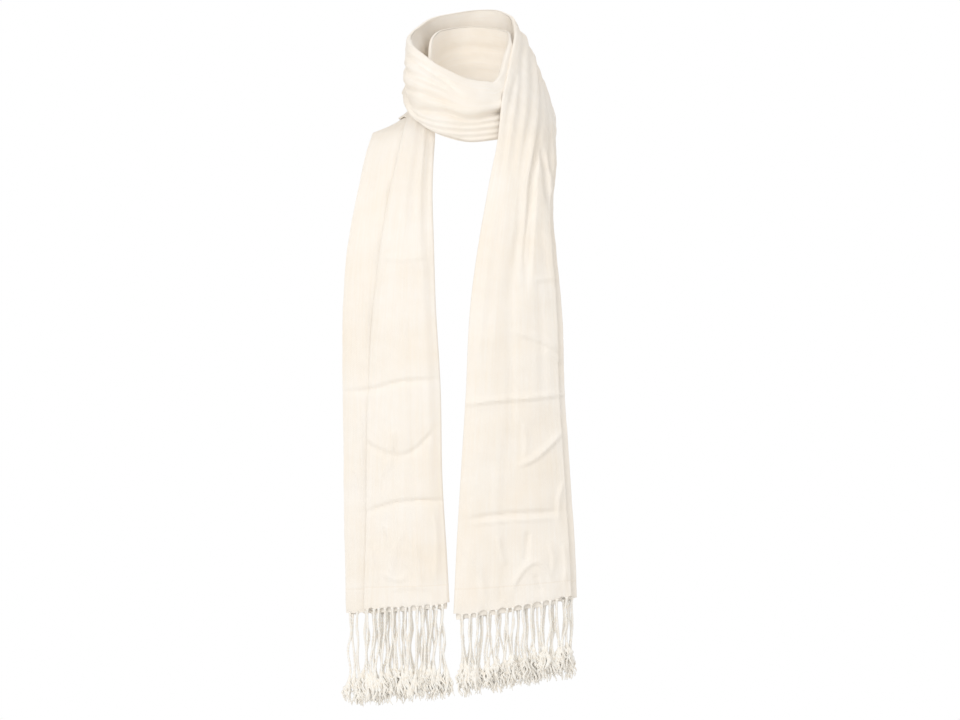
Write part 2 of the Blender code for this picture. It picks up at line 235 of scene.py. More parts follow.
ALL = Reach.ALL
TOP = Reach.FRONT_ONLY
INNER = Reach.BACK_ONLY
FOLDS: tuple[Fold, ...] = (
    Fold("groove beside the left wing",
         ((9.4, 0.6), (9, 0.625), (8, 0.51), (7, 0.487), (6, 0.541), (5, 0.615), (4, 0.68), (3, 0.75),
          (2, 0.775), (1, 0.8)), 4.5, -2.2, ALL, 1.5),
    Fold("shaded hollow of the left wing",
         ((5.4, 0.6), (4, 0.67), (3, 0.735), (2.2, 0.76)), 11, -1.6, ALL, 1.2),
    Fold("soft swell of the left end", ((0, 0.35), (8, 0.4)), 40, 2.0, ALL, 1.5),
    Fold("upper fold of the left end",
         ((9, 0.25), (7.7, 0.21), (6.8, 0.21), (5.9, 0.235), (4.7, 0.26)), 8, -1.5, TOP),
    Fold("neck fold of the left end",
         ((9, 0.1), (7.7, 0.09), (6.8, 0.08), (5.9, 0.075), (4.4, 0.1)), 6, -1.8, TOP),
    Fold("rounded neck edge of the left end", ((0, 0.0), (9, 0.0)), 15, -2.6, ALL),
    Fold("fullness of the left end", ((9, 0.4), (4, 0.4)), 60, 1.6, TOP, 1.5),
    Fold("fold of the left wing",
         ((9, 0.8), (8.4, 0.84), (7.2, 0.82), (6.2, 0.85), (5.2, 0.9)), 7, -1.6, ALL),
    Fold("soft line low on the left", ((4.6, 0.3), (2.6, 0.26), (0.8, 0.3)), 9, -0.9, ALL),
    Fold("soft line by the left fold", ((4.2, 0.5), (2.4, 0.52), (0.6, 0.5)), 10, 0.9, ALL),
    Fold("soft line by the left edge", ((5.4, 0.13), (3.4, 0.1), (1.6, 0.14)), 8, 0.8, ALL),
    Fold("fullness of the wrap", ((17, 0.45), (26, 0.45)), 110, 3.2, TOP, 1.5),
    Fold("roll of the front wrap", ((19.5, 0.33), (25, 0.36)), 44, 4.0, ALL, 1.5),
    Fold("groove under the roll",
         ((17, 0.66), (19.7, 0.62), (21.2, 0.65), (22.1, 0.67), (22.7, 0.72), (23.4, 0.82),
          (28, 0.7)), 14, -2.2, ALL, 1.5),
    Fold("tuck under the roll",
         ((18, 0.64), (19.7, 0.62), (20.25, 0.595), (20.6, 0.63), (21.2, 0.65), (21.7, 0.63), (22.1, 0.66),
          (22.6, 0.71), (23.3, 0.86)), 5, -3.0, TOP, 0.7),
    Fold("tuck at the right end of the band",
         ((18, 0.64), (19.7, 0.62), (20.3, 0.6), (21.1, 0.65)), 5, -2.6, TOP, 0.6),
    Fold("first pleat of the band",
         ((18, 0.74), (19.85, 0.74), (20.45, 0.735), (21, 0.735), (21.6, 0.78), (22.1, 0.82), (22.6, 0.855),
          (24, 0.93)), 3.4, -2.0, TOP),
    Fold("second pleat of the band",
         ((18, 0.84), (19.9, 0.845), (20.45, 0.83), (21, 0.825), (21.6, 0.87), (22.1, 0.91), (22.6, 0.945),
          (23.6, 0.98)), 3.4, -2.0, TOP),
    Fold("third pleat of the band",
         ((18, 0.93), (19.9, 0.93), (20.45, 0.92), (21, 0.915), (21.6, 0.96),
          (22.6, 0.99)), 3.2, -1.8, TOP),
    Fold("drape under the top edge",
         ((21.1, 0.385), (21.6, 0.275), (22.2, 0.17), (22.9, 0.13), (23.7, 0.155),
          (24.6, 0.2)), 6, -3.2, TOP),
    Fold("long drape across the roll",
         ((21.4, 0.38), (21.9, 0.32), (22.35, 0.28), (23, 0.3), (23.9, 0.365), (25.5, 0.44)), 6, -3.4, TOP),
    Fold("swell between the drapes",
         ((21.3, 0.44), (22, 0.41), (22.6, 0.38), (23.3, 0.44), (24.5, 0.52)), 9, 1.8, TOP),
    Fold("low drape across the roll",
         ((21.2, 0.51), (21.9, 0.505), (22.3, 0.48), (22.9, 0.505), (23.75, 0.615),
          (25.5, 0.68)), 6, -3.4, TOP),
    Fold("swell above the band",
         ((18.6, 0.5), (20.4, 0.52), (21.4, 0.56), (22.3, 0.58), (23.2, 0.7)), 7, 2.2, TOP, 0.8),
    Fold("left fold low on the wrap", ((22.8, 0.8), (23.6, 0.84), (24.8, 0.84), (27, 0.8)), 8, -2.2, TOP),
    Fold("left fold high on the wrap", ((24.2, 0.24), (25.4, 0.26), (27, 0.18)), 8, -1.7, TOP),
    Fold("bulge against the right end", ((17.2, 0.45), (18.6, 0.45), (20.3, 0.5)), 70, 4.4, TOP, 0.8),
    Fold("back fold high", ((25.6, 0.3), (28, 0.27), (30, 0.22), (33, 0.2)), 10, 2.6, TOP, 1.4),
    Fold("back trough high", ((25.8, 0.42), (28, 0.38), (30, 0.35), (32.4, 0.36)), 7, -1.6, TOP, 1.2),
    Fold("back fold between", ((26.2, 0.56), (28.4, 0.5), (30.4, 0.48), (32.6, 0.5)), 8, 2.0, TOP, 1.4),
    Fold("back trough low", ((25.6, 0.68), (28, 0.64), (30.4, 0.62), (32.4, 0.66)), 7, -1.8, TOP, 1.2),
    Fold("back fold low", ((25.8, 0.8), (28, 0.78), (30.2, 0.77), (33, 0.8)), 9, 2.2, TOP, 1.4),
    Fold("cloth fallen against the first turn",
         ((23.2, 0.4), (25, 0.42), (27.4, 0.4)), 34, -12.0, INNER, 1.3),
    Fold("inner back fold high", ((11, 0.22), (13, 0.26), (15, 0.24), (17, 0.26)), 10, 1.6, ALL, 1.4),
    Fold("inner back trough", ((11, 0.42), (13, 0.46), (15, 0.44), (17, 0.44)), 8, -1.4, ALL, 1.4),
    Fold("inner back fold low", ((11, 0.66), (13, 0.68), (15, 0.64), (17, 0.66)), 10, 1.5, ALL, 1.4),
    Fold("fullness of the gathers", ((30, 0.5), (41.6, 0.5)), 95, 3.0, TOP, 1.5),
    Fold("neck edge of the right end",
         ((34, 0.03), (35.4, 0.04), (36.1, 0.05), (36.7, 0.075), (37.4, 0.12), (38.8, 0.16)), 7, -1.5, TOP),
    Fold("first gather",
         ((31, 0.12), (32.5, 0.1), (33.7, 0.09), (34.67, 0.145), (35.62, 0.2), (36.55, 0.235), (37.4, 0.27),
          (38.4, 0.31)), 9, -1.7, TOP),
    Fold("second gather",
         ((30.6, 0.24), (33.3, 0.28), (34.25, 0.33), (35.2, 0.375), (36.15, 0.395), (37.2, 0.41),
          (38.2, 0.42)), 10, -1.5, TOP),
    Fold("swell between the gathers",
         ((31, 0.36), (33.6, 0.36), (34.4, 0.42), (35.3, 0.47), (36.2, 0.485), (37.4, 0.5)), 12, 1.2, TOP),
    Fold("deep gather",
         ((30.6, 0.38), (33.65, 0.445), (34.35, 0.535), (35.35, 0.565), (36.17, 0.565)), 8, -2.2, TOP, 1.5),
    Fold("deepest stretch of the deep gather",
         ((35.2, 0.57), (36.17, 0.565), (36.88, 0.57), (37.73, 0.595), (38.33, 0.61), (38.88, 0.615),
          (39.5, 0.62), (40.2, 0.605), (40.9, 0.585)), 6.5, -4.6, TOP, 1.2),
    Fold("swell inside the deep gather",
         ((35.6, 0.49), (37, 0.5), (38.4, 0.53), (39.6, 0.545)), 9, 1.4, TOP),
    Fold("outer gather",
         ((30.8, 0.52), (33.2, 0.58), (33.75, 0.62), (34.4, 0.725), (35.15, 0.795), (36.25, 0.825),
          (37.2, 0.87)), 7, -2.2, TOP),
    Fold("branch of the deep gather",
         ((35.7, 0.61), (36.2, 0.645), (36.75, 0.725), (37.35, 0.795), (38, 0.855),
          (38.7, 0.895)), 8, -3.2, TOP, 0.7),
    Fold("crest outside the branch",
         ((35.9, 0.72), (36.6, 0.81), (37.4, 0.88), (38.2, 0.94)), 6, 1.2, TOP, 0.7),
    Fold("shoulder edge gather", ((31.2, 0.74), (33, 0.82), (34.6, 0.9), (36, 0.95)), 7, -1.4, TOP),
    Fold("inner streak below the gathers",
         ((38.2, 0.49), (38.8, 0.48), (39.33, 0.48), (39.83, 0.47), (40.6, 0.465)), 7, -2.0, TOP, 0.7),
    Fold("outer streak below the gathers",
         ((39.2, 0.62), (39.67, 0.595), (40.17, 0.58), (40.8, 0.56)), 7, -1.6, TOP, 0.7),
    Fold("streak by the outer edge", ((39, 0.8), (40, 0.82), (41.2, 0.84)), 8, -1.2, TOP),
    Fold("trough below the gathers", ((37, 0.5), (42, 0.36)), 18, -2.0, ALL, 1.5),
    Fold("rounded neck edge of the right end", ((36, 0.0), (45, 0.0)), 15, -2.4, ALL),
    Fold("swell of the right end", ((36, 0.66), (45, 0.7)), 44, 2.6, ALL, 1.5),
    Fold("inner swell of the right end", ((39, 0.22), (45, 0.18)), 36, 2.0, ALL, 1.5),
    Fold("soft line inside on the right", ((38.6, 0.2), (40.4, 0.22), (42, 0.18)), 9, -1.0, ALL),
    Fold("soft line in the middle on the right", ((39.4, 0.44), (41, 0.42), (43, 0.46)), 9, -1.1, ALL),
    Fold("soft line outside on the right", ((38.8, 0.76), (40.8, 0.74), (42.6, 0.78)), 9, -1.0, ALL),
    Fold("soft ridge low on the right", ((42.2, 0.34), (43.6, 0.32), (45, 0.36)), 9, 0.9, ALL),
)
WRAP_CREASES: tuple[Crease, ...] = (
    Crease("fold from the corner", ((21, 36), (26, 25), (33, 15), (40, 6)), 3.2, -1.8, 1.8),
    Crease("small nick", ((-26, 3), (-25, -6)), 1.3, -1.2, 1.5),
    Crease("wrinkle on the roll", ((-40, 22), (-20, 14), (0, 12)), 2.2, 0.8),
    Crease("second wrinkle on the roll", ((-58, 40), (-40, 30), (-22, 26)), 2.4, 0.9),
    Crease("wrinkle near the corner", ((4, 22), (18, 20), (30, 27)), 2.2, 0.9),
    Crease("wrinkle on the left", ((-80, 28), (-66, 20), (-50, 17)), 2.2, 1.0),
)
LEFT_CREASES: tuple[Crease, ...] = (
    Crease("upper", ((-104, -177), (-82, -179), (-49, -177)), 1.6, 1.5),
    Crease("second", ((-162, -332), (-117, -330), (-95, -322), (-73, -318), (-24, -317)), 1.6, -3.0),
    Crease("hanging arc",
           ((-136, -377), (-117, -396), (-90, -407), (-69, -403), (-51, -385), (-42, -372)), 1.7, -2.3),
    Crease("short upright", ((-90, -376), (-91, -400)), 1.7, 1.5, 2.4),
    Crease("slant", ((-141, -418), (-132, -442), (-125, -470)), 1.8, 1.9, 2.4),
    Crease("third", ((-132, -477), (-104, -466), (-82, -460), (-56, -459), (-16, -459)), 1.6, -3.1),
    Crease("crumple inner", ((-66, -503), (-62, -534), (-56, -564)), 1.7, 1.9, 2.6),
    Crease("crumple middle", ((-80, -490), (-90, -525), (-95, -554)), 1.8, 2.0, 2.6),
    Crease("crumple outer", ((-114, -511), (-109, -536), (-112, -560)), 1.7, 1.7, 2.6),
    Crease("crumple low", ((-105, -545), (-86, -556), (-73, -549)), 1.6, 1.6, 2.4),
    Crease("crumple high", ((-104, -488), (-96, -500), (-98, -516)), 1.7, 1.5, 2.4),
    Crease("crumple by the edge", ((-44, -470), (-40, -512), (-43, -556)), 1.8, 1.7, 2.4),
    Crease("low line", ((-96, -566), (-72, -561), (-44, -563)), 1.6, 1.2, 2.4),
    Crease("fork of the arc", ((-92, -405), (-96, -420), (-104, -431)), 1.6, 1.3, 2.4),
    Crease("small fold", ((-78, -534), (-70, -548), (-72, -566)), 1.6, -1.6, 2.4),
)
RIGHT_CREASES: tuple[Crease, ...] = (
    Crease("long streak", ((72, -92), (64, -123), (58, -158), (56, -211)), 3.0, -1.6, 1.8),
    Crease("outer streak", ((93, -72), (97, -114), (101, -158)), 3.0, -1.3, 1.8),
    Crease("short upper", ((70, -203), (96, -200)), 1.7, 1.3),
    Crease("upper", ((43, -260), (66, -269), (88, -277), (101, -287)), 1.7, 2.2),
    Crease("upper twig", ((82, -285), (101, -298)), 1.8, 1.2),
    Crease("second", ((-20, -349), (23, -343), (66, -340), (120, -334)), 1.6, 3.0),
    Crease("slant", ((49, -421), (71, -413), (88, -398), (110, -375)), 1.7, 2.6),
    Crease("third", ((-10, -482), (27, -475), (68, -473), (110, -472)), 2.1, -3.3, 3.0),
    Crease("side upright", ((106, -436), (99, -459), (100, -487)), 1.8, 1.9, 2.4),
    Crease("crumple", ((66, -494), (63, -533)), 2.2, -2.4, 2.0),
    Crease("arch", ((44, -574), (53, -550), (66, -534), (77, -531), (88, -542), (94, -566)), 1.8, 2.2, 2.6),
    Crease("inner arc", ((-10, -513), (3, -534), (12, -550), (14, -580)), 1.8, 1.9, 2.6),
    Crease("crumple outer", ((105, -508), (109, -536), (106, -560)), 1.8, 1.8, 2.6),
    Crease("pale line", ((-12, -489), (28, -484), (72, -482), (102, -482)), 1.6, 2.0),
    Crease("streak above the slant", ((58, -366), (62, -388), (60, -412)), 1.8, 1.2, 2.4),
    Crease("crumple by the arch", ((88, -508), (94, -526), (92, -548)), 1.8, 1.5, 2.4),
    Crease("crumple second", ((29, -500), (37, -536)), 1.8, 1.8, 2.6),
    Crease("crumple low", ((74, -546), (82, -566)), 1.7, -1.8, 2.4),
    Crease("crumple by the hem", ((30, -560), (36, -578)), 1.7, -1.7, 2.4),
)


class CreasedArea(NamedTuple):
    """A stretch of cloth seen from the front, the creases pressed into it and the layers that they move."""

    first: float
    last: float
    nearer_than: float
    reach: Reach
    creases: tuple[Crease, ...]


CREASED_AREAS = (
    CreasedArea(0.0, 8.0, math.inf, ALL, LEFT_CREASES),
    CreasedArea(36.0, LAST, math.inf, ALL, RIGHT_CREASES),
    CreasedArea(18.0, 25.0, -8.0, TOP, WRAP_CREASES),
)


@dataclass(frozen=True)
class WoundPath:
    """The smooth surface of the innermost layer, from hem to hem."""

    stations: tuple[Station, ...] = STATIONS
    probe: float = 0.02

    def table(self) -> Array:
        """Return one row of numbers for each station."""
        return np.array([s.inner + s.middle + s.outer + (s.pitch, s.inset) for s in self.stations], float)

    def knots(self) -> Array:
        """Return the distance along the middle of the cloth at each station, in millimetres."""
        middles = np.array([s.middle for s in self.stations], float)
        return np.concatenate(([0.0], np.cumsum(np.linalg.norm(np.diff(middles, axis=0), axis=1))))

    def distance(self, places: Array) -> Array:
        """Return how far places lie from the left hem along the cloth, in millimetres."""
        return np.interp(places, np.arange(LAST + 1), self.knots())

    def from_hem(self, places: Array) -> Array:
        """Return how far places lie from the nearer hem along the cloth, in millimetres."""
        along = self.distance(places)
        return np.minimum(along, self.knots()[-1] - along)

    def rows(self, places: Array) -> Array:
        """Return smooth table rows.

        Args:
            places: Places along the cloth, counted in stations.

        Returns:
            One row of the table for each place.
        """
        table, knots = self.table(), self.knots()
        steps = np.diff(knots)[:, None]
        chords = np.diff(table, axis=0) / steps
        inner = (chords[:-1] * steps[1:] + chords[1:] * steps[:-1]) / (steps[:-1] + steps[1:])
        slope = np.vstack((chords[:1], inner, chords[-1:]))
        index = np.clip(np.floor(places).astype(int), 0, len(table) - 2)
        part = (places - index)[:, None]
        step = steps[index]
        cube, square = part ** 3, part ** 2
        return ((2 * cube - 3 * square + 1) * table[index] + (cube - 2 * square + part) * step * slope[index]
                + (3 * square - 2 * cube) * table[index + 1] + (cube - square) * step * slope[index + 1])

    def point(self, places: Array, across: Array) -> Array:
        """Return points of the innermost layer.

        Args:
            places: Places along the cloth, one for each row.
            across: Places across the cloth, one row for each place.

        Returns:
            An array of points, rows by columns by three.
        """
        row = self.rows(places)[:, None, :]
        a = across[:, :, None]
        return (row[..., 0:3] * (2 * (a - 0.5) * (a - 1)) + row[..., 3:6] * (4 * a * (1 - a))
                + row[..., 6:9] * (2 * a * (a - 0.5)))

    def directions(self, places: Array, across: Array) -> tuple[Array, Array]:
        """Return the unit directions across and outward at points of the innermost layer.

        Args:
            places: Places along the cloth, one for each row.
            across: Places across the cloth, one row for each place.

        Returns:
            The direction across and the direction outward.
        """
        step = self.probe
        low, high = np.clip(places - step, 0, LAST), np.clip(places + step, 0, LAST)
        onward = self.point(high, across) - self.point(low, across)
        sideways = self.point(places, across + step) - self.point(places, across - step)
        outward = np.cross(onward, sideways)
        return unit(sideways), unit(outward)


def unit(vectors: Array) -> Array:
    """Return the vectors at length one."""
    return vectors / np.linalg.norm(vectors, axis=-1, keepdims=True)


@dataclass(frozen=True)
class PleatedCloth:
    """The cloth pleated into layers, one on the other, along the wound path.

    The front layer's selvedge rolls round the neck-side edge of the others, so the edge is soft. The lip
    says how far the front layer laps past that edge at places along the cloth, and the notch how far the
    edge is cut in at the corner of the throat. Sizes are in millimetres, and shares have no unit.
    """

    path: WoundPath = WoundPath()
    closeness: float = 0.6
    front_ease: float = 0.4
    press_floor: float = -0.45
    press_softness: float = 0.35
    waves: Line = ((95, 0.6), (61, 0.45), (37, 0.32), (21, 0.2), (13, 0.12))
    hem_drop: float = 6.0
    hem_drop_run: float = 0.8
    strands_per_layer: int = 13
    strand_jitter: float = 0.24
    scallop: float = 3.4
    scallop_reach: float = 5.0
    selvedge: float = 0.05
    flare: float = 0.7
    flare_reach: float = 14.0
    layer_cuts: tuple[int, ...] = (39, 13, 13, 78)
    near_edges: tuple[float, ...] = (0.8, 3.0, 3.0, 1.6)
    lip: Line = ((30.5, 0.0), (32.5, 6.0), (34.0, 9.0), (35.6, 8.0), (37.6, 0.0))
    notch: Line = ((18.4, 0.0), (18.9, 2.5), (19.4, 6.0), (20.0, 8.0), (20.3, 4.0), (20.9, 0.0))
    turns: tuple[float, ...] = (-54.0, -18.0, 18.0, 54.0)
    roll_turns: tuple[float, ...] = (62.0, 34.0, 6.0, -22.0, -50.0)

    def stops(self, layer: int) -> Array:
        """Return the places across one layer from 0 to 1, in the order in which the cloth runs."""
        even = np.linspace(0, 1, self.layer_cuts[layer] + 1)
        return even[::-1] if layer % 2 else even

    def width(self, rows: Array) -> Array:
        """Return the width of the cloth's innermost layer at table rows."""
        return (np.linalg.norm(rows[:, 3:6] - rows[:, 0:3], axis=1)
                + np.linalg.norm(rows[:, 6:9] - rows[:, 3:6], axis=1))[:, None]

    def depth(self, layer: int, pitch: Array) -> Array:
        """Return how far a layer lies from the innermost one of the solid, with the stack in its middle."""
        middle = (LAYERS - 1) / 2
        return (layer - middle) * pitch * self.closeness + middle * pitch + self.front_ease * (layer == FRONT)

    def relief(self, places: Array, across: Array, width: Array, layer: int, base: Array) -> Array:
        """Return the lift of every fold, crease and small unevenness.

        Args:
            places: Places along the cloth as a column.
            across: Places across the cloth.
            width: The cloth's width at each row.
            layer: The layer's number, counted from the innermost one.
            base: The points of the innermost layer.

        Returns:
            The lift of each point in millimetres.
        """
        shared, alone = self.unevenness(places, across, width), np.zeros(across.shape)
        x, y, z = base[..., 0], base[..., 1], base[..., 2]
        for fold in FOLDS:
            if fold.reach is ALL:
                shared += fold.lift(places, across, width)
            elif layer in fold.reach.value:
                alone += fold.lift(places, across, width)
        for first, last, nearer_than, reach, creases in CREASED_AREAS:
            inside = (places >= first) & (places <= last) & (y < nearer_than)
            if layer in reach.value and inside.any():
                lift = np.where(inside, sum(crease.lift(x, z) for crease in creases), 0)
                if reach is ALL:
                    shared += lift
                else:
                    alone += lift
        if layer < FRONT:
            return shared + alone
        # The front layer can't be pressed into the ones behind it, so its troughs level off.
        above = (alone - self.press_floor) / self.press_softness
        return shared + self.press_floor + self.press_softness * np.logaddexp(0, above)

    def unevenness(self, places: Array, across: Array, width: Array) -> Array:
        """Return a gentle waviness that no woven cloth is without.

        Args:
            places: Places along the cloth as a column.
            across: Places across the cloth.
            width: The cloth's width at each row.

        Returns:
            The lift of each point in millimetres.
        """
        along, side = self.path.distance(places), across * width
        wave = np.zeros(across.shape)
        # Each wave runs its own way over the cloth and starts elsewhere, so that none line up.
        for index, (length, height) in enumerate(self.waves):
            turn = 0.35 + 0.5 * index
            phase = side * math.cos(turn) / length * 7 + along * math.sin(turn) / length * 4 + index * 1.7
            wave += height * np.sin(phase) * np.cos(along / length * 3.1 + index)
        return wave

    def section(self, places: Array) -> tuple[Array, Array]:
        """Return the folded cloth at many places.

        Args:
            places: Places along the cloth, counted in stations.

        Returns:
            The points, rows by columns by three, and the layer position of each column.
        """
        rows = self.path.rows(places)
        width = self.width(rows)
        pitch, inset = rows[:, 9:10], rows[:, 10:11]
        far = [np.ones_like(width)] * 2 + [1 - inset / width] * 2
        lip = np.interp(places, *zip(*self.lip))[:, None]
        notch = np.interp(places, *zip(*self.notch))[:, None]
        near = [(edge + notch - lip * (layer == FRONT)) / width for layer, edge in enumerate(self.near_edges)]
        blocks: list[Array] = []
        marks: list[Array] = []
        for layer in range(LAYERS):
            stop = self.stops(layer)
            across = near[layer] + (far[layer] - near[layer]) * stop
            base = self.path.point(places, across)
            lift = self.depth(layer, pitch) + self.relief(places[:, None], across, width, layer, base)
            outward = self.path.directions(places, across)[1]
            blocks.append(base + outward * lift[..., None])
            marks.append(layer + (1 - stop if layer % 2 else stop))
            if layer < FRONT:
                edge = near[layer + 1] if layer % 2 else far[layer]
                blocks.append(self.turn(places, edge, layer, layer + 1, pitch, width, self.turns))
                marks.append(np.full(len(self.turns), layer + 1.0))
        blocks.append(self.turn(places, near[FRONT], FRONT, 0, pitch, width, self.roll_turns))
        marks.append(np.full(len(self.roll_turns), float(LAYERS)))
        return np.concatenate(blocks, axis=1), np.concatenate(marks)

    def turn(self, places: Array, edge: Array, layer: int, after: int, pitch: Array,
             width: Array, angles: tuple[float, ...]) -> Array:
        """Return the points of the round fold between a layer and another.

        Args:
            places: Places along the cloth.
            edge: Where the fold lies across the cloth, one value a row.
            layer: The layer that the fold leaves.
            after: The layer that it goes to.
            pitch: The solid's distance between layers, one value a row.
            width: The cloth's width, one value a row.
            angles: The angles of its points in degrees, from the inside outward.

        Returns:
            The points of the fold.
        """
        base = self.path.point(places, edge)
        sideways, outward = self.path.directions(places, edge)
        first, second = (
            self.depth(index, pitch) + self.relief(places[:, None], edge, width, index, base)
            for index in (layer, after))
        middle, reach = (first + second) / 2, np.abs(first - second) / 2
        side = -1 if layer % 2 else 1
        angle = np.radians(np.array(angles))[None, :]
        return (base + outward * (middle + np.sin(angle) * reach)[..., None]
                + sideways * (side * np.cos(angle) * reach)[..., None])

    def hemmed(self, places: Array) -> tuple[Array, Array]:
        """Return the folded cloth with its hems lowered at the back and drawn down at each strand.

        Args:
            places: Places along the cloth, counted in stations.

        Returns:
            The points and the layer position of each column.
        """
        points, marks = self.section(places)
        near = np.clip(1 - np.minimum(places, LAST - places) / self.hem_drop_run, 0, 1)[:, None]
        behind = np.clip((FRONT - marks) * 6, 0, 1)[None, :]
        points[..., 2] -= self.hem_drop * near * behind
        roots = np.concatenate(([-self.selvedge], self.strand_marks(), [LAYERS + self.selvedge]))
        after = np.clip(np.searchsorted(roots, marks), 1, len(roots) - 1)
        gap = roots[after] - roots[after - 1]
        part = (marks - roots[after - 1]) / gap
        arch = np.sin(math.pi * part) ** 0.8 * gap * self.strands_per_layer
        from_hem = self.path.from_hem(places)[:, None]
        pull = np.exp(-(from_hem / self.scallop_reach) ** 1.4)
        points[..., 2] += self.scallop * pull * arch[None, :]
        fade = np.exp(-(from_hem / self.flare_reach) ** 1.5)
        points[..., 1] -= self.flare * fade * np.sin(marks * self.strands_per_layer * 2.3)[None, :]
        return points, marks

    def strand_marks(self) -> Array:
        """Return where the strands leave the hem, unevenly spaced.

        Returns:
            The layer position of every strand's root, from 0 to the number of layers.
        """
        count = np.arange(self.strands_per_layer * LAYERS)
        shift = self.strand_jitter * np.sin(count * 2.4 + 0.7) * np.cos(count * 1.1)
        return (count + 0.5 + shift) / self.strands_per_layer


CLOTH = PleatedCloth()


def linear(hex_colour: str) -> tuple[float, float, float, float]:
    """Turn an sRGB hex value into a linear colour.

    Args:
        hex_colour: The colour as a hash and six digits.

    Returns:
        Red, green, blue and an alpha of one.
    """
    parts = [int(hex_colour[i:i + 2], 16) / 255 for i in (1, 3, 5)]
    turned = [p / 12.92 if p <= 0.04045 else ((p + 0.055) / 1.055) ** 2.4 for p in parts]
    return turned[0], turned[1], turned[2], 1.0


def add_node(tree: bpy.types.NodeTree, kind: str, inputs: dict[str, object] | None = None,
             **settings: object) -> bpy.types.Node:
    """Add a node with its settings, values and links.

    Args:
        tree: The node tree that takes the node.
        kind: The node's type name, without the words that all shader nodes start with.
        inputs: Values for sockets, or output sockets to link to them.
        **settings: Values of the node's own properties.

    Returns:
        The new node.
    """
    node = tree.nodes.new("ShaderNode" + kind)
    for key, value in settings.items():
        setattr(node, key, value)
    for key, value in (inputs or {}).items():
        socket = node.inputs[int(key)] if key.isdigit() else node.inputs[key]
        if isinstance(value, bpy.types.NodeSocket):
            tree.links.new(value, socket)
        else:
            socket.default_value = value
    return node


def per_metre(size_mm: float) -> float:
    """Return how many times a pattern of a size in millimetres fits into a metre."""
    return 1 / (size_mm * MM)


def new_material(name: str, values: dict[str, object]) -> tuple[bpy.types.Material, bpy.types.Node]:
    """Make a material and set its shader's sockets.

    Args:
        name: The material's name.
        values: The value of each socket.

    Returns:
        The material and its shader node.
    """
    made = bpy.data.materials.new(name)
    made.use_nodes = True
    shader = made.node_tree.nodes["Principled BSDF"]
    for key, value in values.items():
        shader.inputs[key].default_value = value
    return made, shader


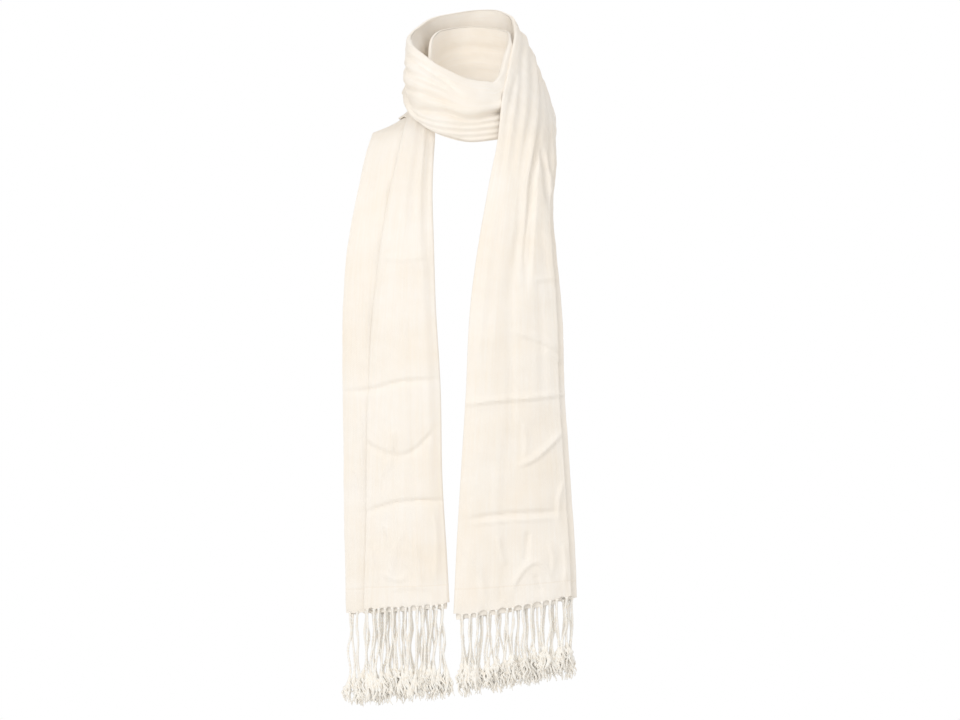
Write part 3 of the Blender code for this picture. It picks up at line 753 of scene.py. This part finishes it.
@dataclass(frozen=True)
class WovenWool:
    """Fine worsted wool in a twill weave, brushed soft: matt with a faint sheen at grazing angles.

    The ribs of the real twill are half a millimetre apart. They are drawn three times as far apart,
    because they would not show otherwise.
    """

    name: str = "ivory_twill_wool"
    light: str = "#FCF7F0"
    warm: str = "#F9F0E3"
    line: str = "#F1E4D2"
    sheen: str = "#FFF8EE"
    rib_mm: float = 1.5
    cloud_mm: float = 1000 / 14
    streak_mm: Span = (1000 / 300, 1000 / 14)
    relief_mm: float = 0.5
    border_mm: float = 27.0
    line_mm: Span = (0.3, 1.3)
    line_strength: float = 0.2
    line_sink: float = -3.0
    crinkle: float = 2.2
    roughness: float = 0.9

    def material(self) -> bpy.types.Material:
        """Make the finish, faintly clouded and streaked along the warp as hand-pressed wool is.

        Returns:
            The material.
        """
        made, shader = new_material(self.name, {
            "Roughness": self.roughness, "Sheen Weight": 0.25, "Sheen Roughness": 0.45,
            "Sheen Tint": linear(self.sheen), "Specular IOR Level": 0.25, "IOR": 1.54})
        tree = made.node_tree
        place = add_node(tree, "UVMap", uv_map="cloth")
        spot = add_node(tree, "TexCoord")
        cloud = add_node(tree, "TexNoise", {
            "Vector": spot.outputs["Object"], "Scale": per_metre(self.cloud_mm), "Detail": 4.0,
            "Roughness": 0.55})
        streak_place = add_node(tree, "Mapping", {
            "Vector": place.outputs["UV"], "Scale": (*map(per_metre, self.streak_mm), 1.0)})
        streak = add_node(tree, "TexNoise", {
            "Vector": streak_place.outputs["Vector"], "Scale": 1.0, "Detail": 3.0, "Roughness": 0.6})
        mixed = add_node(tree, "Math", {
            "0": streak.outputs["Fac"], "1": 0.5, "2": cloud.outputs["Fac"]}, operation="MULTIPLY_ADD")
        tone = add_node(tree, "ValToRGB", {"Fac": mixed.outputs["Value"]})
        for stop, at, colour in zip(tone.color_ramp.elements, (0.5, 0.95), (self.warm, self.light)):
            stop.position, stop.color = at, linear(colour)
        edge = self.border(tree, place)
        lined = add_node(tree, "Mix", {
            "Factor": edge, "6": tone.outputs["Color"], "7": linear(self.line)}, data_type="RGBA")
        tree.links.new(lined.outputs[2], shader.inputs["Base Color"])
        ribs = self.weave(tree, place)
        crinkled = add_node(tree, "Math", {
            "0": streak.outputs["Fac"], "1": self.crinkle, "2": ribs}, operation="MULTIPLY_ADD")
        sunk = add_node(tree, "Math", {
            "0": edge, "1": self.line_sink, "2": crinkled.outputs["Value"]}, operation="MULTIPLY_ADD")
        bump = add_node(tree, "Bump", {
            "Strength": 0.45, "Distance": self.relief_mm * MM, "Height": sunk.outputs["Value"]})
        tree.links.new(bump.outputs["Normal"], shader.inputs["Normal"])
        return made

    def weave(self, tree: bpy.types.NodeTree, place: bpy.types.Node) -> bpy.types.NodeSocket:
        """Return the height of the slanting twill ribs.

        Args:
            tree: The material's node tree.
            place: The node that gives the cloth's own coordinates in metres.

        Returns:
            The socket that holds the height.
        """
        wave_turn = 20.0  # radians in one unit of Blender's wave texture
        ribs = 2 * math.pi / (self.rib_mm * MM) / wave_turn
        slant = add_node(tree, "Mapping", {
            "Vector": place.outputs["UV"], "Rotation": (0.0, 0.0, math.radians(45)),
            "Scale": (ribs, ribs, 1.0)})
        twill = add_node(tree, "TexWave", {
            "Vector": slant.outputs["Vector"], "Scale": 1.0, "Distortion": 1.2, "Detail": 2.0,
            "Detail Scale": 3.0}, wave_type="BANDS", bands_direction="X")
        return twill.outputs["Fac"]

    def border(self, tree: bpy.types.NodeTree, place: bpy.types.Node) -> bpy.types.NodeSocket:
        """Return where the woven border line lies, a fixed distance from the hem.

        Args:
            tree: The material's node tree.
            place: The node that gives the cloth's own coordinates in metres.

        Returns:
            The socket that is highest on the line.
        """
        parts = add_node(tree, "SeparateXYZ", {"Vector": place.outputs["UV"]})
        off = add_node(tree, "Math", {
            "0": parts.outputs["Y"], "1": self.border_mm * MM}, operation="SUBTRACT")
        far = add_node(tree, "Math", {"0": off.outputs["Value"]}, operation="ABSOLUTE")
        near = add_node(tree, "MapRange", {
            "Value": far.outputs["Value"], "1": self.line_mm[0] * MM, "2": self.line_mm[1] * MM,
            "3": self.line_strength, "4": 0.0}, interpolation_type="SMOOTHSTEP")
        return near.outputs["Result"]


@dataclass(frozen=True)
class TwistedWool:
    """Wool warp twisted into strands: as pale as the cloth, fuzzy and quite matt."""

    name: str = "ivory_twisted_warp"
    light: str = "#FFFEFA"
    warm: str = "#FCF4E8"
    fuzz_mm: float = 1000 / 300
    relief_mm: float = 0.4
    roughness: float = 0.9

    def material(self) -> bpy.types.Material:
        """Make the finish, mottled as loose fibres catch the light.

        Returns:
            The material.
        """
        made, shader = new_material(self.name, {
            "Roughness": self.roughness, "Sheen Weight": 0.9, "Sheen Roughness": 0.5,
            "Specular IOR Level": 0.25})
        tree = made.node_tree
        spot = add_node(tree, "TexCoord")
        fuzz = add_node(tree, "TexNoise", {
            "Vector": spot.outputs["Object"], "Scale": per_metre(self.fuzz_mm), "Detail": 3.0,
            "Roughness": 0.6})
        tone = add_node(tree, "ValToRGB", {"Fac": fuzz.outputs["Fac"]})
        for stop, at, colour in zip(tone.color_ramp.elements, (0.3, 0.65), (self.warm, self.light)):
            stop.position, stop.color = at, linear(colour)
        tree.links.new(tone.outputs["Color"], shader.inputs["Base Color"])
        bump = add_node(tree, "Bump", {
            "Strength": 0.4, "Distance": self.relief_mm * MM, "Height": fuzz.outputs["Fac"]})
        tree.links.new(bump.outputs["Normal"], shader.inputs["Normal"])
        return made


@dataclass(frozen=True)
class MattPaint:
    """Plain matt white paint for the studio floor."""

    name: str = "matt_white_floor_paint"
    colour: str = "#F7F6F4"
    roughness: float = 0.9

    def material(self) -> bpy.types.Material:
        """Return the finish."""
        return new_material(self.name, {"Base Color": linear(self.colour), "Roughness": self.roughness})[0]


def link(name: str, mesh: bpy.types.Mesh) -> bpy.types.Object:
    """Put a mesh in the scene.

    Args:
        name: The object's name.
        mesh: The mesh that it holds.

    Returns:
        The new object.
    """
    made = bpy.data.objects.new(name, mesh)
    bpy.context.scene.collection.objects.link(made)
    return made


@dataclass
class ClothStretch:
    """One stretch of the wound cloth as a thin sheet."""

    name: str
    node: str
    first: float
    last: float
    step: float
    rests_on: list[str]
    flat_width: float = 0.45
    thickness: float = 0.6
    sharp_above: float = math.radians(60)

    def ends(self) -> Array:
        """Return how far the stretch's two ends lie from the left hem, in millimetres."""
        return CLOTH.path.distance(np.array([self.first, self.last]))

    def places(self) -> Array:
        """Space the rows of the sheet evenly along the stretch.

        Returns:
            The places, counted in stations.
        """
        start, end = self.ends()
        rows = int(round((end - start) / self.step))
        return np.interp(np.linspace(start, end, rows + 1), CLOTH.path.knots(), np.arange(LAST + 1))

    def flat_length(self) -> float:
        """Return the length of cloth in this stretch, in metres."""
        start, end = self.ends()
        return float(end - start) * MM

    def mesh(self) -> bpy.types.Mesh:
        """Lay a flat grid on the folded cloth and give it its thickness.

        Returns:
            The sheet's mesh.
        """
        places = self.places()
        points, _ = CLOTH.hemmed(places)
        rows, columns = points.shape[:2]
        grid = bmesh.new()
        bmesh.ops.create_grid(grid, x_segments=columns - 1, y_segments=rows - 1, size=0.5)
        made = bpy.data.meshes.new(self.name)
        grid.to_mesh(made)
        flat = np.zeros(len(made.vertices) * 3)
        made.vertices.foreach_get("co", flat)
        flat = flat.reshape(-1, 3)
        column = np.rint((flat[:, 0] + 0.5) * (columns - 1)).astype(int)
        row = np.rint((flat[:, 1] + 0.5) * (rows - 1)).astype(int)
        made.vertices.foreach_set("co", (points[row, column] * MM).ravel())
        self.lay_threads(made, points, places, row, column)
        grid.clear()
        grid.from_mesh(made)
        bmesh.ops.solidify(grid, geom=grid.faces[:], thickness=self.thickness * MM)
        if grid.calc_volume(signed=True) < 0:
            bmesh.ops.reverse_faces(grid, faces=grid.faces[:])
        grid.to_mesh(made)
        grid.free()
        made.shade_smooth()
        made.set_sharp_from_angle(angle=self.sharp_above)
        return made

    def lay_threads(self, made: bpy.types.Mesh, points: Array, places: Array,
                    row: Array, column: Array) -> None:
        """Write the cloth's own coordinates in metres as a UV map.

        Args:
            made: The mesh that takes the map.
            points: The laid points, rows by columns.
            places: The places of the rows.
            row: The row of each vertex.
            column: The column of each vertex.
        """
        middle = points[len(points) // 2]
        across = np.concatenate(([0.0], np.cumsum(np.linalg.norm(np.diff(middle, axis=0), axis=1)))) * MM
        from_hem = CLOTH.path.from_hem(places) * MM
        layer = made.uv_layers.new(name="cloth")
        corner = np.zeros(len(made.loops), dtype=np.int32)
        made.loops.foreach_get("vertex_index", corner)
        values = np.stack((across[column[corner]], from_hem[row[corner]]), axis=1)
        layer.data.foreach_set("uv", values.ravel())

    def build(self, material: bpy.types.Material) -> bpy.types.Object:
        """Args:
            material: The cloth's finish.

        Returns:
            The finished piece.
        """
        made = link(self.name, self.mesh())
        made.data.materials.append(material)
        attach(made, "root")
        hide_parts(self.node)
        log.info("%s: %.0f mm of cloth", self.name, self.flat_length() / MM)
        return made


@dataclass
class Fringe:
    """The warp left unwoven at one short end, twisted into knotted strands with fluffy tufts.

    A span gives the least and the most of what differs from strand to strand, or from lock to lock.
    """

    name: str
    node: str
    place: float
    knot: float
    tuft: float
    seed: int
    uneven: float = 7.0
    strand: float = 1.3
    root_rise: float = 2.0
    root_flare: float = 0.9
    knot_radius: float = 2.5
    knot_length: float = 2.8
    fluff: float = 1.9
    fluff_below: float = 8.0
    fluff_length: float = 4.4
    locks_below: float = 3.0
    tail: float = 13.0
    lay: float = 8.0
    sides: int = 8
    rings: int = 46
    locks: int = 16
    sway: Span = (-5.0, 5.0)
    lean: Span = (-1.5, 1.0)
    wave: Span = (0.6, 2.0)
    depth_wave: Span = (0.2, 0.8)
    wave_turn: Span = (0.08, 0.16)
    stoutness: Span = (0.88, 1.12)
    lock_share: Span = (0.4, 1.0)
    lock_spread: Span = (1.0, 7.0)
    lock_curl: Span = (1.0, 3.0)
    lock_turn: Span = (4.0, 11.0)
    lock_girth: Span = (0.9, 1.7)
    probe: float = 0.03
    weld: float = 0.004

    def roots(self) -> list[tuple[Array, Array]]:
        """Find where the strands leave the hem.

        Returns:
            The root point and the direction across of every strand.
        """
        points, marks = CLOTH.hemmed(np.array([self.place]))
        count = CLOTH.strands_per_layer
        found: list[tuple[Array, Array]] = []
        first = 0
        for layer in range(LAYERS):
            run = CLOTH.layer_cuts[layer] + 1
            values, line = marks[first:first + run], points[0, first:first + run]
            for mark in CLOTH.strand_marks()[layer * count:(layer + 1) * count]:
                point, after = (
                    np.array([np.interp(at, values, line[:, axis]) for axis in range(3)])
                    for at in (mark, min(mark + self.probe, layer + 1.0)))
                side = (after - point) * (1, 1, 0)
                found.append((point, unit(side)))
            first += run + len(CLOTH.turns)
        return found

    def build(self, material: bpy.types.Material) -> bpy.types.Object:
        """Make every strand and tuft of the fringe as one joined piece.

        Args:
            material: The strands' finish.

        Returns:
            The finished piece.
        """
        shape = bmesh.new()
        random = np.random.default_rng(self.seed)
        for root, side in self.roots():
            self.hang(shape, root, side, random)
        bmesh.ops.remove_doubles(shape, verts=shape.verts[:], dist=self.weld * MM)
        bmesh.ops.holes_fill(shape, edges=[edge for edge in shape.edges if edge.is_boundary], sides=0)
        bmesh.ops.recalc_face_normals(shape, faces=shape.faces[:])
        mesh = bpy.data.meshes.new(self.name)
        shape.to_mesh(mesh)
        shape.free()
        mesh.shade_smooth()
        made = link(self.name, mesh)
        made.data.materials.append(material)
        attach(made, "root")
        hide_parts(self.node)
        log.info("%s: %d strands", self.name, len(self.roots()))
        return made

    def hang(self, shape: bmesh.types.BMesh, root: Array, side: Array,
             random: np.random.Generator) -> None:
        """Hang one strand with its knot and tuft.

        Args:
            shape: The mesh that takes it.
            root: Where the strand leaves the hem.
            side: The direction along the hem.
            random: The source of its small differences.
        """
        out = np.array((side[1], -side[0], 0.0))
        knot = self.knot + random.uniform(-self.uneven, self.uneven)
        sway, lean = random.uniform(*self.sway), random.uniform(*self.lean)
        wave, depth_wave = random.uniform(*self.wave), random.uniform(*self.depth_wave)
        phase, turns = random.uniform(0, 2 * math.pi), random.uniform(*self.wave_turn)
        strand = self.strand * random.uniform(*self.stoutness)
        start = root + np.array((0, 0, self.root_rise))
        down_axis = np.array((0.0, 0.0, 1.0))

        def centre(down: float) -> Array:
            """Find the middle of the strand.

            Args:
                down: How far below its root, in millimetres.

            Returns:
                The point.
            """
            part = down / knot
            grow = min(1.0, part * 3)
            swing = sway * part ** 1.6 + wave * grow * math.sin(phase + down * turns)
            away = lean * part + depth_wave * grow * math.cos(phase + down * turns * 1.3)
            return start + side * swing + out * away - down_axis * down

        def reach(down: float, turn: float) -> float:
            """Find how far the strand's surface lies from its middle.

            Args:
                down: How far below its root, in millimetres.
                turn: The angle round the strand from its first ply, in radians.

            Returns:
                The distance in millimetres.
            """
            below = down - knot
            swell = (self.knot_radius - strand) * math.exp(-(below / self.knot_length) ** 4)
            fluff = self.fluff * math.exp(-((below - self.fluff_below) / self.fluff_length) ** 4)
            plies = 0.3 * strand * math.cos(2 * turn) * (1 - min(1.0, swell))
            root_flare = self.root_flare * math.exp(-(down / 2.2) ** 2)
            rough = 0.2 * swell * math.cos(2.6 * below) + 0.25 * fluff * math.cos(3 * turn + down)
            return strand * 0.92 + swell + fluff + plies + root_flare + rough

        length = knot + self.tail
        tube = bmesh.ops.create_grid(shape, x_segments=self.sides, y_segments=self.rings, size=0.5)
        for vert in tube["verts"]:
            around = (vert.co.x + 0.5) % 1.0 * 2 * math.pi
            down = (0.5 - vert.co.y) * length
            spread = reach(down, around - 2 * math.pi * down / self.lay)
            vert.co = (centre(down) + (side * math.cos(around) + out * math.sin(around)) * spread) * MM
        for _ in range(self.locks):
            self.lock(shape, centre(knot + self.locks_below), side, out, random)

    def lock(self, shape: bmesh.types.BMesh, tip: Array, side: Array, out: Array,
             random: np.random.Generator) -> None:
        """Add one loose curly lock of a tuft, a thin bent cone.

        Args:
            shape: The mesh that takes it.
            tip: The end of the knotted strand.
            side: The direction along the hem.
            out: The direction away from the cloth.
            random: The source of its small differences.
        """
        length = self.tuft * random.uniform(*self.lock_share)
        angle = random.uniform(0, 2 * math.pi)
        away = side * math.cos(angle) + out * math.sin(angle) * 0.8
        spread, curl = random.uniform(*self.lock_spread), random.uniform(*self.lock_curl)
        turns, phase = random.uniform(*self.lock_turn), random.uniform(0, 6.3)
        girth = random.uniform(*self.lock_girth)
        cone = bmesh.ops.create_grid(shape, x_segments=5, y_segments=9, size=0.5)
        for vert in cone["verts"]:
            around = (vert.co.x + 0.5) % 1.0 * 2 * math.pi
            part = 0.5 - vert.co.y
            loose = curl * min(1.0, part * 1.6)
            bend = (away * (0.8 + spread * math.sin(part * 1.9))
                    + side * loose * math.sin(phase + part * turns)
                    + out * loose * 0.6 * math.cos(phase + part * turns))
            thick = girth * (0.35 + 0.75 * math.sin(math.pi * part) ** 0.8)
            ring = (side * math.cos(around) + out * math.sin(around)) * thick
            vert.co = (tip + bend + ring - np.array((0.0, 0.0, length * part - 2.0))) * MM


@dataclass
class Studio:
    """A plain white room with soft light and a camera in front of the neck."""

    distance: float = 3.0
    camera_x: float = 0.0098
    camera_z: float = -0.295
    frame_width: float = 1.1712
    film_width: float = 36.0
    floor_z: float = -1.42
    floor_size: float = 7.0
    aim: Point = (0.0, 0.0, -0.25)
    room_colour: str = "#FFFDFA"
    room_strength: float = 0.68
    lights: tuple[tuple[str, Point, float, float], ...] = (
        ("key", (-1.5, -2.1, 1.0), 1.3, 22.0),
        ("top", (0.8, -0.9, 2.0), 1.2, 5.0),
        ("front", (0.3, -2.7, 0.1), 1.8, 8.2),
        ("back", (0.9, 2.3, 1.2), 1.4, 14.0),
    )

    def camera(self) -> None:
        """Stand the camera level with the middle of the picture."""
        data = bpy.data.cameras.new("camera")
        data.sensor_width = self.film_width
        data.lens = self.film_width * self.distance / self.frame_width
        made = bpy.data.objects.new("camera", data)
        made.location = (self.camera_x, -self.distance, self.camera_z)
        made.rotation_euler = (math.radians(90), 0, 0)
        bpy.context.scene.collection.objects.link(made)
        bpy.context.scene.camera = made

    def floor(self) -> None:
        """Lay the floor where a standing wearer's feet would be."""
        shape = bmesh.new()
        bmesh.ops.create_grid(shape, x_segments=1, y_segments=1, size=self.floor_size / 2)
        bmesh.ops.translate(shape, verts=shape.verts[:], vec=(0, 0, self.floor_z))
        mesh = bpy.data.meshes.new("studio_floor")
        shape.to_mesh(mesh)
        shape.free()
        made = link("studio_floor", mesh)
        made.data.materials.append(MattPaint().material())

    def light(self, name: str, spot: Point, size: float, power: float) -> None:
        """Hang a soft square light that faces the shawl.

        Args:
            name: The light's name.
            spot: Where it hangs, in metres.
            size: The length of its side, in metres.
            power: Its power in watts.
        """
        data = bpy.data.lights.new(name, "AREA")
        data.size = size
        data.energy = power
        made = bpy.data.objects.new(name, data)
        made.location = spot
        aim = np.array(self.aim) - np.array(spot)
        yaw = math.atan2(aim[0], -aim[1])
        tilt = math.atan2(math.hypot(aim[0], aim[1]), -aim[2])
        made.rotation_euler = (tilt, 0, yaw + math.pi)
        bpy.context.scene.collection.objects.link(made)

    def build(self) -> None:
        """Set up the camera, the floor, the lights and the white room."""
        self.camera()
        self.floor()
        for name, spot, size, power in self.lights:
            self.light(name, spot, size, power)
        world = bpy.data.worlds.new("white_room")
        world.use_nodes = True
        tree = world.node_tree
        soft = tree.nodes["Background"]
        soft.inputs["Color"].default_value = linear(self.room_colour)
        soft.inputs["Strength"].default_value = self.room_strength
        seen = add_node(tree, "Background", {"Color": linear("#FFFFFF"), "Strength": 1.0})
        ray = add_node(tree, "LightPath")
        both = add_node(tree, "MixShader", {
            "Fac": ray.outputs["Is Camera Ray"], "1": soft.outputs["Background"],
            "2": seen.outputs["Background"]})
        tree.links.new(both.outputs["Shader"], tree.nodes["World Output"].inputs["Surface"])
        bpy.context.scene.world = world
        bpy.context.scene.view_settings.view_transform = "Standard"
        log.info("studio ready")


@dataclass(frozen=True)
class Shawl:
    """The whole shawl: five stretches of cloth and two fringes."""

    stretches: tuple[ClothStretch, ...] = (
        ClothStretch("left_end_cloth", "left_end", 0, 9, 2.3, ["back_wrap_inner"]),
        ClothStretch("back_wrap_inner_cloth", "back_wrap_inner", 9, 17, 2.4, ["left_end"]),
        ClothStretch("front_wrap_cloth", "front_wrap", 17, 25, 2.2, ["left_end", "back_wrap_inner"]),
        ClothStretch("back_wrap_outer_cloth", "back_wrap_outer", 25, 33, 2.4, ["back_wrap_inner"]),
        ClothStretch("right_end_cloth", "right_end", 33, LAST, 2.3, ["front_wrap", "back_wrap_outer"]),
    )
    fringes: tuple[Fringe, ...] = (
        Fringe("left_fringe_strands", "left_fringe", 0.0, 76.0, 30.0, 7),
        Fringe("right_fringe_strands", "right_fringe", LAST, 60.0, 28.0, 11),
    )

    def build(self) -> None:
        """Make both fringes and every stretch of cloth, each with its finish."""
        wool = WovenWool().material()
        warp = TwistedWool().material()
        strands = [fringe.build(warp) for fringe in self.fringes]
        for stretch in self.stretches:
            made = stretch.build(wool)
            stretch.flat_length()


def main() -> None:
    """Build the studio and the shawl."""
    logging.basicConfig(level=logging.INFO, format="%(message)s")
    Studio().build()
    Shawl().build()


if __name__ == "__main__":
    main()
